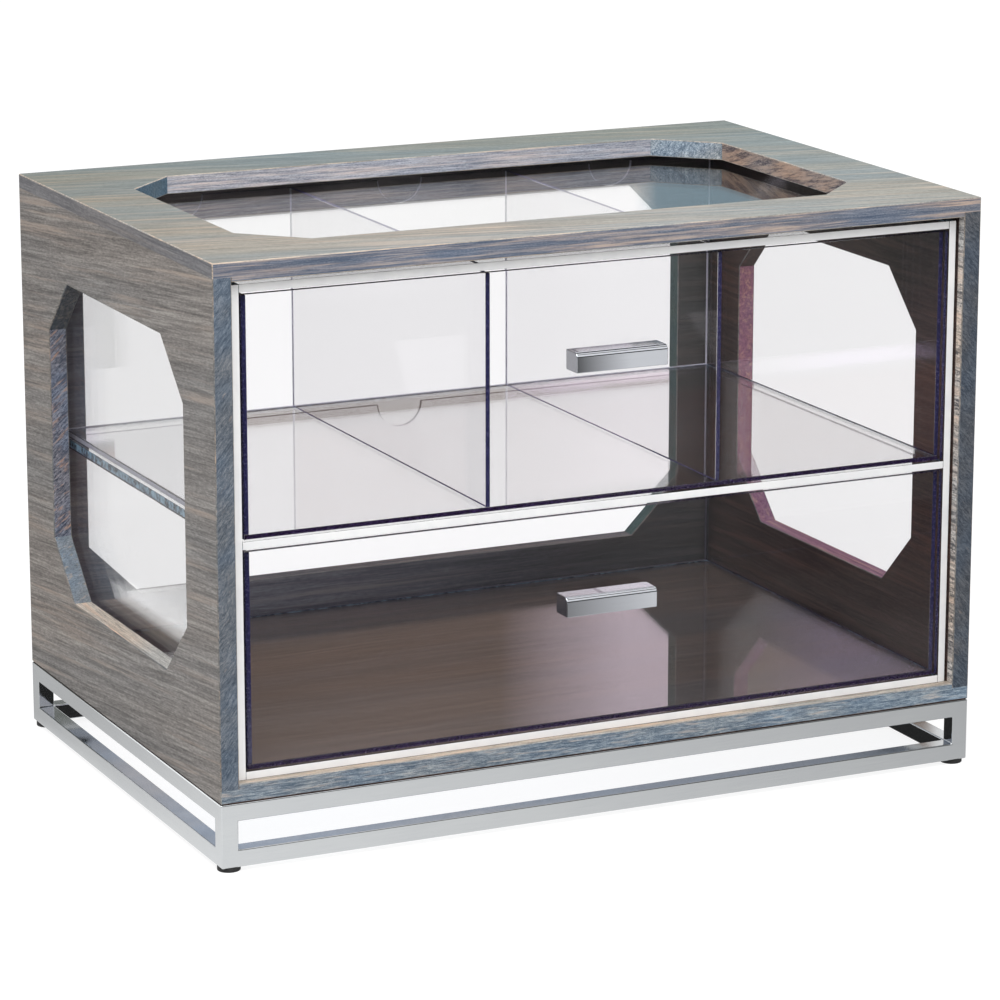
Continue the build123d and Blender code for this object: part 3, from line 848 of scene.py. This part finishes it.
# ---- clear liner ----
# Six sheets of clear cast acrylic, solvent-cemented into an open-fronted box with a shelf. The
# front edges are painted near white, a painted highlight where the light that runs along the sheets
# comes out, and the other sawn edges look blue.
sheet_arris = 0.35 * MM
cement_line = 0.05 * MM
# lower than that of solid acrylic, so that the sheets mirror less and their inside stays clear
sheet_ior = 1.22
# the order of a sheet's finishes: its two faces, its sawn edges, and those to the front or up and down
FACES, EDGES, FRONT, LEVEL = range(4)


def mix_shaders(share, first, second):
    """Two surfaces mixed by a share."""
    node = share.id_data.nodes.new("ShaderNodeMixShader")
    for socket, value in zip(node.inputs, (share, first, second)):
        feed(socket, value)
    return node.outputs["Shader"]


def clear_acrylic(name, tint, shade):
    """Clear sheet with a faint tint, which lets light fall through it."""
    material, tree, shader = new_material(name)
    feed(shader.inputs["Base Color"], tint)
    shader.inputs["Transmission Weight"].default_value = 1
    shader.inputs["IOR"].default_value = sheet_ior
    feed(shader.inputs["Roughness"], remap(add_marks(tree), 0, 1, 0.0, 0.01))
    shadow_ray = tree.nodes.new("ShaderNodeLightPath").outputs["Is Shadow Ray"]
    through = tree.nodes.new("ShaderNodeBsdfTransparent")
    feed(through.inputs["Color"], shade)
    surface = mix_shaders(shadow_ray, shader.outputs["BSDF"], through.outputs["BSDF"])
    feed(tree.nodes["Material Output"].inputs["Surface"], surface)
    return material


def sheet_edge(name, dark, light, roughness, streak, coat=0.4):
    """The cut edge of a sheet, painted with the light that runs along the sheet and comes out there."""
    material, tree, shader = new_material(name)
    saw_marks = stretched_noise(object_place(tree), (streak, streak, streak), 3, 0.6)
    feed(shader.inputs["Base Color"], blend_colours(remap(saw_marks, 0.42, 0.60), dark, light))
    shader.inputs["Coat Weight"].default_value = coat
    feed(shader.inputs["Roughness"], remap(saw_marks, 0.3, 0.7, roughness, roughness + 0.1))
    return material


def edge_finish(normal):
    """Which finish an edge of a sheet takes, by the way that it faces."""
    if normal.y < -0.5:
        return FRONT
    return LEVEL if abs(normal.z) > 0.5 else EDGES


def sheet(name, node, body, thin_axis, finishes):
    """One acrylic sheet in place of its node, drawn in by the cement line."""
    low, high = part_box(node)
    gap = Vector((cement_line,) * 3)
    piece = block(name, low + gap, high - gap)
    for finish in finishes:
        piece.data.materials.append(finish)
    for face in piece.data.polygons:
        is_face = abs(face.normal[thin_axis]) > 0.5
        face.material_index = FACES if is_face else edge_finish(face.normal)
    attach(piece, body)
    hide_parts(node)
    return piece


liner_clear = clear_acrylic("liner_acrylic_clear", (0.98, 0.982, 0.98), (0.95, 0.95, 0.95))
liner_edge = sheet_edge("liner_edge_blue", (0.02, 0.035, 0.06), (0.27, 0.42, 0.55), 0.25, 260, coat=0.1)
# the front edges are painted near white, as a painted highlight
liner_front_highlight = sheet_edge("liner_edge_painted_highlight", (0.90, 0.90, 0.91), (0.95, 0.95, 0.95), 0.35, 60)
liner_finishes = (liner_clear, liner_edge, liner_front_highlight, liner_edge)
for name, thin_axis in (("left_wall", 0), ("right_wall", 0), ("back_sheet", 1),
                        ("floor", 2), ("shelf", 2), ("top", 2)):
    liner_sheet = sheet(f"clear_liner_{name}", f"liner_{name}", "casing", thin_axis,
                        liner_finishes)
    ease_edges(liner_sheet, sheet_arris, 2)


# ---- clear drawers ----
# Each drawer is a front pane with a floor, side walls and a back wall cemented behind it, and the
# upper one has two dividers. Its sheets are flame-polished and look violet at their edges.
pane_hole_radius = 2.2 * MM
notch_radius = 16 * MM

drawer_clear = clear_acrylic("drawer_acrylic_clear", (0.965, 0.960, 0.968), (0.94, 0.93, 0.95))
navy_edge = sheet_edge("drawer_edge_navy", (0.014, 0.013, 0.055), (0.024, 0.022, 0.085), 0.2, 700, coat=0.1)
violet_edge = sheet_edge("drawer_edge_violet", (0.012, 0.005, 0.028), (0.020, 0.009, 0.044), 0.2, 700,
                         coat=0.1)
top_edge = sheet_edge("drawer_edge_level", (0.030, 0.025, 0.095), (0.050, 0.042, 0.140), 0.6, 700, coat=0)
top_edge.node_tree.nodes["Principled BSDF"].inputs["Specular IOR Level"].default_value = 0.05
# the sawn edges are lit and shaded copies: pale as painted light on the upper drawer, and dim as painted
# shade on the lower
lit_drawer_edge = sheet_edge("drawer_edge_painted_light", (0.42, 0.41, 0.49), (0.56, 0.55, 0.64), 0.4, 700, coat=0)
shaded_drawer_edge = sheet_edge("drawer_edge_painted_shade", (0.050, 0.046, 0.070), (0.080, 0.074, 0.105), 0.4, 700, coat=0)
for tier in ("upper", "lower"):
    body = f"{tier}_drawer"
    screws_low, screws_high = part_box(f"{tier}_handle_screws")
    pane_finishes = (drawer_clear, navy_edge, navy_edge, violet_edge)
    pane = sheet(f"clear_{tier}_front_pane", f"{tier}_front_pane", body, 1, pane_finishes)
    pane_low, pane_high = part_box(f"{tier}_front_pane")
    hole_length = pane_high.y - pane_low.y + 2 * MM
    screw_height = (screws_low.z + screws_high.z) / 2
    head_radius = (screws_high.z - screws_low.z) / 2
    for screw_x in (screws_low.x + head_radius, screws_high.x - head_radius):
        hole_start = (screw_x, pane_low.y - MM, screw_height)
        cut_away(pane, rod("hole", hole_start, (0, 1, 0), pane_hole_radius, hole_length))
    ease_edges(pane, sheet_arris, 2)
    walls = [("floor", 2), ("left_wall", 0), ("right_wall", 0), ("back_wall", 1)]
    if tier == "upper":
        walls += [("divider_1", 0), ("divider_2", 0)]
    for name, thin_axis in walls:
        # the upper drawer's sawn edges take the painted light, the lower's the painted shade
        sawn_edge = lit_drawer_edge if tier == "upper" else shaded_drawer_edge
        front_edge = violet_edge if name == "floor" else navy_edge
        level_edge = top_edge if name.startswith("divider") else violet_edge
        wall = sheet(f"clear_{tier}_{name}", f"{tier}_drawer_{name}", body, thin_axis,
                     (drawer_clear, sawn_edge, front_edge, level_edge))
        if name == "back_wall":
            # one notch in the middle of each compartment, whose pitch takes in a divider
            low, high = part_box(f"{tier}_drawer_back_wall")
            divider_low, divider_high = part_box("upper_drawer_divider_1")
            pitches = high.x - low.x + divider_high.x - divider_low.x
            count = 3 if tier == "upper" else 1
            notch_length = high.y - low.y + 2 * MM
            for step in range(count):
                notch_x = (step - (count - 1) / 2) * pitches / count
                notch_start = (notch_x, low.y - MM, high.z)
                cut_away(wall, rod("notch", notch_start, (0, 1, 0), notch_radius, notch_length, 64))
            for face in wall.data.polygons:
                if abs(face.normal.y) < 0.5 and low.x + MM < face.center.x < high.x - MM:
                    face.material_index = LEVEL if face.center.z > high.z - 2 * cement_line else EDGES
        ease_edges(wall, sheet_arris, 2)


# ---- bar handles and their screws ----
# A solid bar of polished chromed steel, its upper front edge rounded over, held tight against the
# pane by two screws from inside the drawer.
handle_round = 3.2 * MM
handle_arris = 0.35 * MM
handle_screw_radius = 2 * MM

handle_chrome = new_metal("handle_chrome", (0.69, 0.71, 0.76), (0.66, 0.68, 0.72), 0.03, 0.05)
for tier in ("upper", "lower"):
    low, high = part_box(f"{tier}_handle")
    handle = block(f"{tier}_bar_handle", low, high)
    edit_edges(handle, lambda edge: all(v.co.y < low.y + touching and v.co.z > high.z - touching
                                        for v in edge.verts))
    bpy.ops.mesh.bevel(offset=handle_round, segments=16, affect="EDGES")
    end_edit()
    ease_edges(handle, handle_arris, 2)
    handle.data.materials.append(handle_chrome)
    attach(handle, f"{tier}_drawer")
    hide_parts(f"{tier}_handle")

    screws_low, screws_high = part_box(f"{tier}_handle_screws")
    pane_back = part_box(f"{tier}_front_pane")[1].y
    head_radius = (screws_high.z - screws_low.z) / 2
    start = (screws_low.x + head_radius, pane_back, (screws_low.z + screws_high.z) / 2)
    left_screw = socket_screw(f"{tier}_handle_screw_left", start, (0, -1, 0), head_radius,
                              screws_high.y - pane_back, handle_screw_radius, pane_back - screws_low.y)
    left_screw.data.materials.append(steel)
    apart = screws_high.x - screws_low.x - 2 * head_radius
    right_screw = copy_of(left_screw, f"{tier}_handle_screw_right", (apart, 0, 0))
    for screw in (left_screw, right_screw):
        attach(screw, f"{tier}_drawer")
        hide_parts(f"{tier}_handle_screws")


# ---- studio ----
# A wide sheet of white paper under a bright even surround, with one large soft light overhead. In
# reflections only, the paper is painted with glowing grey cards and a dark patch under the bin, a
# painted reflection and painted shadow that the chrome and the clear sheets see, and two more painted
# cards stand behind the bin.
paper_size = 40
paper_glow = 0.85
surround_light = 0.85
left_grey = 0.56
right_grey = 0.15
under_bin_shade = 0.02
cards_y = 0.60


def tell_rays(tree):
    """Whether a surface is seen in a reflection, and whether it only lights something."""
    path = tree.nodes.new("ShaderNodeLightPath")
    only_lights = combine("GREATER_THAN", path.outputs["Diffuse Depth"], 0.5)
    mirrored = combine("GREATER_THAN", path.outputs["Glossy Depth"], 0.5)
    return combine("SUBTRACT", mirrored, times(mirrored, only_lights)), only_lights


def split(vector):
    """The X, Y and Z of a place or a direction."""
    node = vector.id_data.nodes.new("ShaderNodeSeparateXYZ")
    feed(node.inputs["Vector"], vector)
    return node.outputs


def between(value, low, high, soft):
    """One inside a range and zero outside it, with soft ends."""
    return combine("MINIMUM", remap(value, low - soft, low + soft), remap(value, high + soft, high - soft))


def slanted(first, second, slope):
    """How far a place lies to one side of a slanting line through the middle."""
    return plus(first, times(second, slope))


def choose(share, first, second):
    """One value or another, by a share from 0 to 1."""
    return mix_values("FLOAT", "Float", share, first, second)


def glow(tree, socket, value):
    """A surface that gives light by itself, with its strength or its colour."""
    node = tree.nodes.new("ShaderNodeEmission")
    feed(node.inputs[socket], value)
    return node.outputs["Emission"]


bpy.ops.object.select_all(action="DESELECT")
bpy.ops.mesh.primitive_plane_add(size=paper_size, location=(0, 0, 0))
floor = bpy.context.object
floor.name = "floor"
paper, tree, shader = new_material("white_paper")
shader.inputs["Roughness"].default_value = 0.9
shader.inputs["Specular IOR Level"].default_value = 0
feed(shader.inputs["Base Color"], (0.45, 0.45, 0.45))
mirrored, only_lights = tell_rays(tree)
card_x, card_y, _ = split(object_place(tree))

# near the front the cards fade to the right, beside the bin to the back, and behind it they are dark
front_cards = remap(card_x, -0.30, 0.34, 0.92, 0.54)
left_cards = remap(card_y, -0.20, 0.30, 0.95, 0.45)
back_cards = remap(card_y, 0.36, 0.42, 0.55, 0.12)
# a dark card lies in front to the left, and its edge runs towards the handles
beside_edge = plus(times(card_x, 0.904), times(plus(card_y, 0.175), 0.427))
near_card = remap(beside_edge, -0.05, 0.05, 0.08, 0.85)
far_card = remap(beside_edge, -0.004, 0.05, 0.08, 0.82)
cards = choose(remap(card_y, -0.96, -0.94), far_card, near_card)
cards = choose(remap(card_y, -0.50, -0.42), cards, front_cards)
cards = choose(remap(card_x, -0.25, -0.27), cards, left_cards)
cards = choose(remap(card_y, 0.16, 0.20), cards, back_cards)
# far to the left they are even, up to a slanting edge that the right side board doesn't reflect
behind = times(between(slanted(card_x, card_y, 0.38), -3, -0.161, 3 * MM), remap(card_y, 0.24, 0.26))
beside = times(remap(card_x, -0.437, -0.443), remap(card_y, 0.26, 0.24))
cards = choose(combine("MAXIMUM", behind, beside), cards, left_grey)
# a bright card lies to the left, where the clear sheets behind the side window reflect it, and has a tip
bright = times(between(card_x, -0.62, -0.392, 3 * MM), between(card_y, 0.0, 0.464, 2 * MM))
tip = times(remap(card_x, -0.408, -0.404), remap(slanted(card_x, card_y, 0.28), -0.264, -0.268))
tip = times(tip, between(card_y, 0.46, 0.56, 2 * MM))
left_light = remap(card_x, -0.45, -0.395, 1.6, 2.3)
cards = choose(combine("MAXIMUM", bright, tip), cards, left_light)
# to the right in front they are dark, so that the panes keep the dark inside clear there
right_dark = times(remap(slanted(card_x, card_y, 0.464), 0.045, 0.12), remap(card_y, -0.42, -0.50))
cards = choose(right_dark, cards, right_grey)
# in reflections the paper under the bin is painted near black, as a painted shadow
under_bin = times(between(card_x, -0.25, 0.25, 5 * MM), between(card_y, -0.16, 0.16, 5 * MM))
cards = choose(under_bin, cards, under_bin_shade)

# a light under the paper shines up at the bin's underside
feed(shader.inputs["Emission Color"], (1, 1, 1))
feed(shader.inputs["Emission Strength"], times(under_bin, remap(card_x, -0.26, 0.26, 1.5, 0.6)))
# the paper itself glows white, and takes a faint shadow
white = glow(tree, "Strength", paper_glow)
card_glow = glow(tree, "Strength", cards)
lit_paper = tree.nodes.new("ShaderNodeAddShader")
faint = tree.nodes.new("ShaderNodeBsdfDiffuse")
feed(faint.inputs["Color"], (0.25, 0.25, 0.25))
feed(lit_paper.inputs[0], white)
feed(lit_paper.inputs[1], faint.outputs["BSDF"])
seen = mix_shaders(only_lights, lit_paper.outputs["Shader"], shader.outputs["BSDF"])
feed(tree.nodes["Material Output"].inputs["Surface"], mix_shaders(mirrored, seen, card_glow))
floor.data.materials.append(paper)


def upright_card(name, x_range, z_range, paint):
    """A card on edge behind the bin, which shows only in reflections, where it glows with its paint."""
    bpy.ops.object.select_all(action="DESELECT")
    middle = (sum(x_range) / 2, cards_y, sum(z_range) / 2)
    bpy.ops.mesh.primitive_plane_add(size=1, location=middle, rotation=(math.radians(90), 0, 0))
    card = bpy.context.object
    card.name = name
    card.scale = (x_range[1] - x_range[0], z_range[1] - z_range[0], 1)
    bpy.ops.object.transform_apply(location=True, rotation=True, scale=True)
    material, tree, _ = new_material(f"{name}_paint")
    card_x, _, card_z = split(object_place(tree))
    painted = glow(tree, "Color", paint(card_x, card_z))
    clear = tree.nodes.new("ShaderNodeBsdfTransparent").outputs["BSDF"]
    mirrored, _ = tell_rays(tree)
    feed(tree.nodes["Material Output"].inputs["Surface"], mix_shaders(mirrored, clear, painted))
    card.data.materials.append(material)


def right_card_paint(x, z):
    """Dull brown, which keeps the lower drawer's floor dark, with a light patch that fades to the left."""
    patch = times(remap(x, 0.285, 0.402), remap(x, 0.447, 0.443))
    patch = times(patch, remap(z, 0.326, 0.320))
    return blend_colours(patch, (0.20, 0.145, 0.115), (1.02, 0.86, 0.96))


def left_card_paint(x, z):
    """Dark, redder towards the top, which keeps the inside of the right side board dark. It is light above
    a slant, where the drawer's floor beside that board reflects it.
    """
    dark = blend_colours(remap(z, 0.330, 0.340), (0.14, 0.15, 0.14), (0.32, 0.13, 0.10))
    light = blend_colours(remap(x, -0.12, -0.045), (1.7, 1.45, 2.0), (0.95, 0.95, 0.95))
    lit = times(remap(slanted(z, x, 0.564), 0.197, 0.203), remap(z, 0.330, 0.326))
    return blend_colours(lit, dark, light)


upright_card("right_card", (0.03, 0.70), (0, 0.328), right_card_paint)
upright_card("left_card", (-0.45, -0.04), (0.14, 0.46), left_card_paint)

world = bpy.data.worlds.new("studio_surround")
world.use_nodes = True
bpy.context.scene.world = world
tree = world.node_tree
mirrored, only_lights = tell_rays(tree)
across, away, height = split(tree.nodes.new("ShaderNodeTexCoord").outputs["Generated"])
# in reflections only, the surround is painted dark in front above the paper and again high up, which
# draws lines along rounded chrome
high_band = times(between(height, 0.71, 0.86, 0.02), 0.72)
front_glow = combine("SUBTRACT", remap(height, 0.28, 0.36, 0.06, 1.0), high_band)
reflected_glow = choose(remap(away, -0.1, 0.1), front_glow, 0.95)
# in reflections, low behind to the right it is painted a dull blue, which the top sheet reflects
# at its right end
to_right = combine("SUBTRACT", across, times(away, 0.512))
dull = times(remap(to_right, 0, 0.006), between(height, 0.05, 0.19, 0.004))
dull = times(times(dull, mirrored), remap(away, 0, 0.1))
# and in reflections it is painted dark high behind to the left, which draws a line along the rails
# of the stand
rim = times(between(height, 0.36, 0.62, 0.02), remap(across, 0.20, 0.14))
rim = times(rim, remap(away, 0.50, 0.60))
reflected_glow = choose(rim, reflected_glow, 0.03)
background = tree.nodes["Background"].inputs
feed(background["Strength"], choose(mirrored, choose(only_lights, 1.0, surround_light), reflected_glow))
feed(background["Color"], blend_colours(dull, (1, 1, 1), (0.40, 0.55, 0.64)))

# the soft light hangs in front to the left and is turned towards the bin's upper part
lamp_side = 0.9
lamp_watts = 11
lamp_place = Vector((-0.35, -0.6, 1.25))
lamp_aim = Vector((0, 0, 0.3))
lamp = bpy.data.lights.new("overhead_softbox", "AREA")
lamp.shape = "SQUARE"
lamp.size = lamp_side
lamp.energy = lamp_watts
lamp_object = bpy.data.objects.new("overhead_softbox", lamp)
lamp_object.location = lamp_place
lamp_object.rotation_euler = (lamp_place - lamp_aim).to_track_quat("Z", "Y").to_euler()
bpy.context.scene.collection.objects.link(lamp_object)

# the camera looks down at the bin from the front left, through a long lens
camera_place = (-1.1435, -2.4284, 0.8396)
camera_tilt = 14.083
camera_turn = -25.278
camera = bpy.data.cameras.new("camera")
camera.lens = 153.07
camera.sensor_width = 36
camera_object = bpy.data.objects.new("camera", camera)
camera_object.location = camera_place
camera_object.rotation_euler = (math.radians(90 - camera_tilt), 0, math.radians(camera_turn))
bpy.context.scene.collection.objects.link(camera_object)
bpy.context.scene.camera = camera_object
bpy.context.scene.view_settings.view_transform = "Standard"
# enough for the light that passes through all the sheets, one behind the other
sheet_bounces = 28
clear_bounces = 32
bpy.context.scene.cycles.max_bounces = sheet_bounces
bpy.context.scene.cycles.transmission_bounces = sheet_bounces
bpy.context.scene.cycles.transparent_max_bounces = clear_bounces
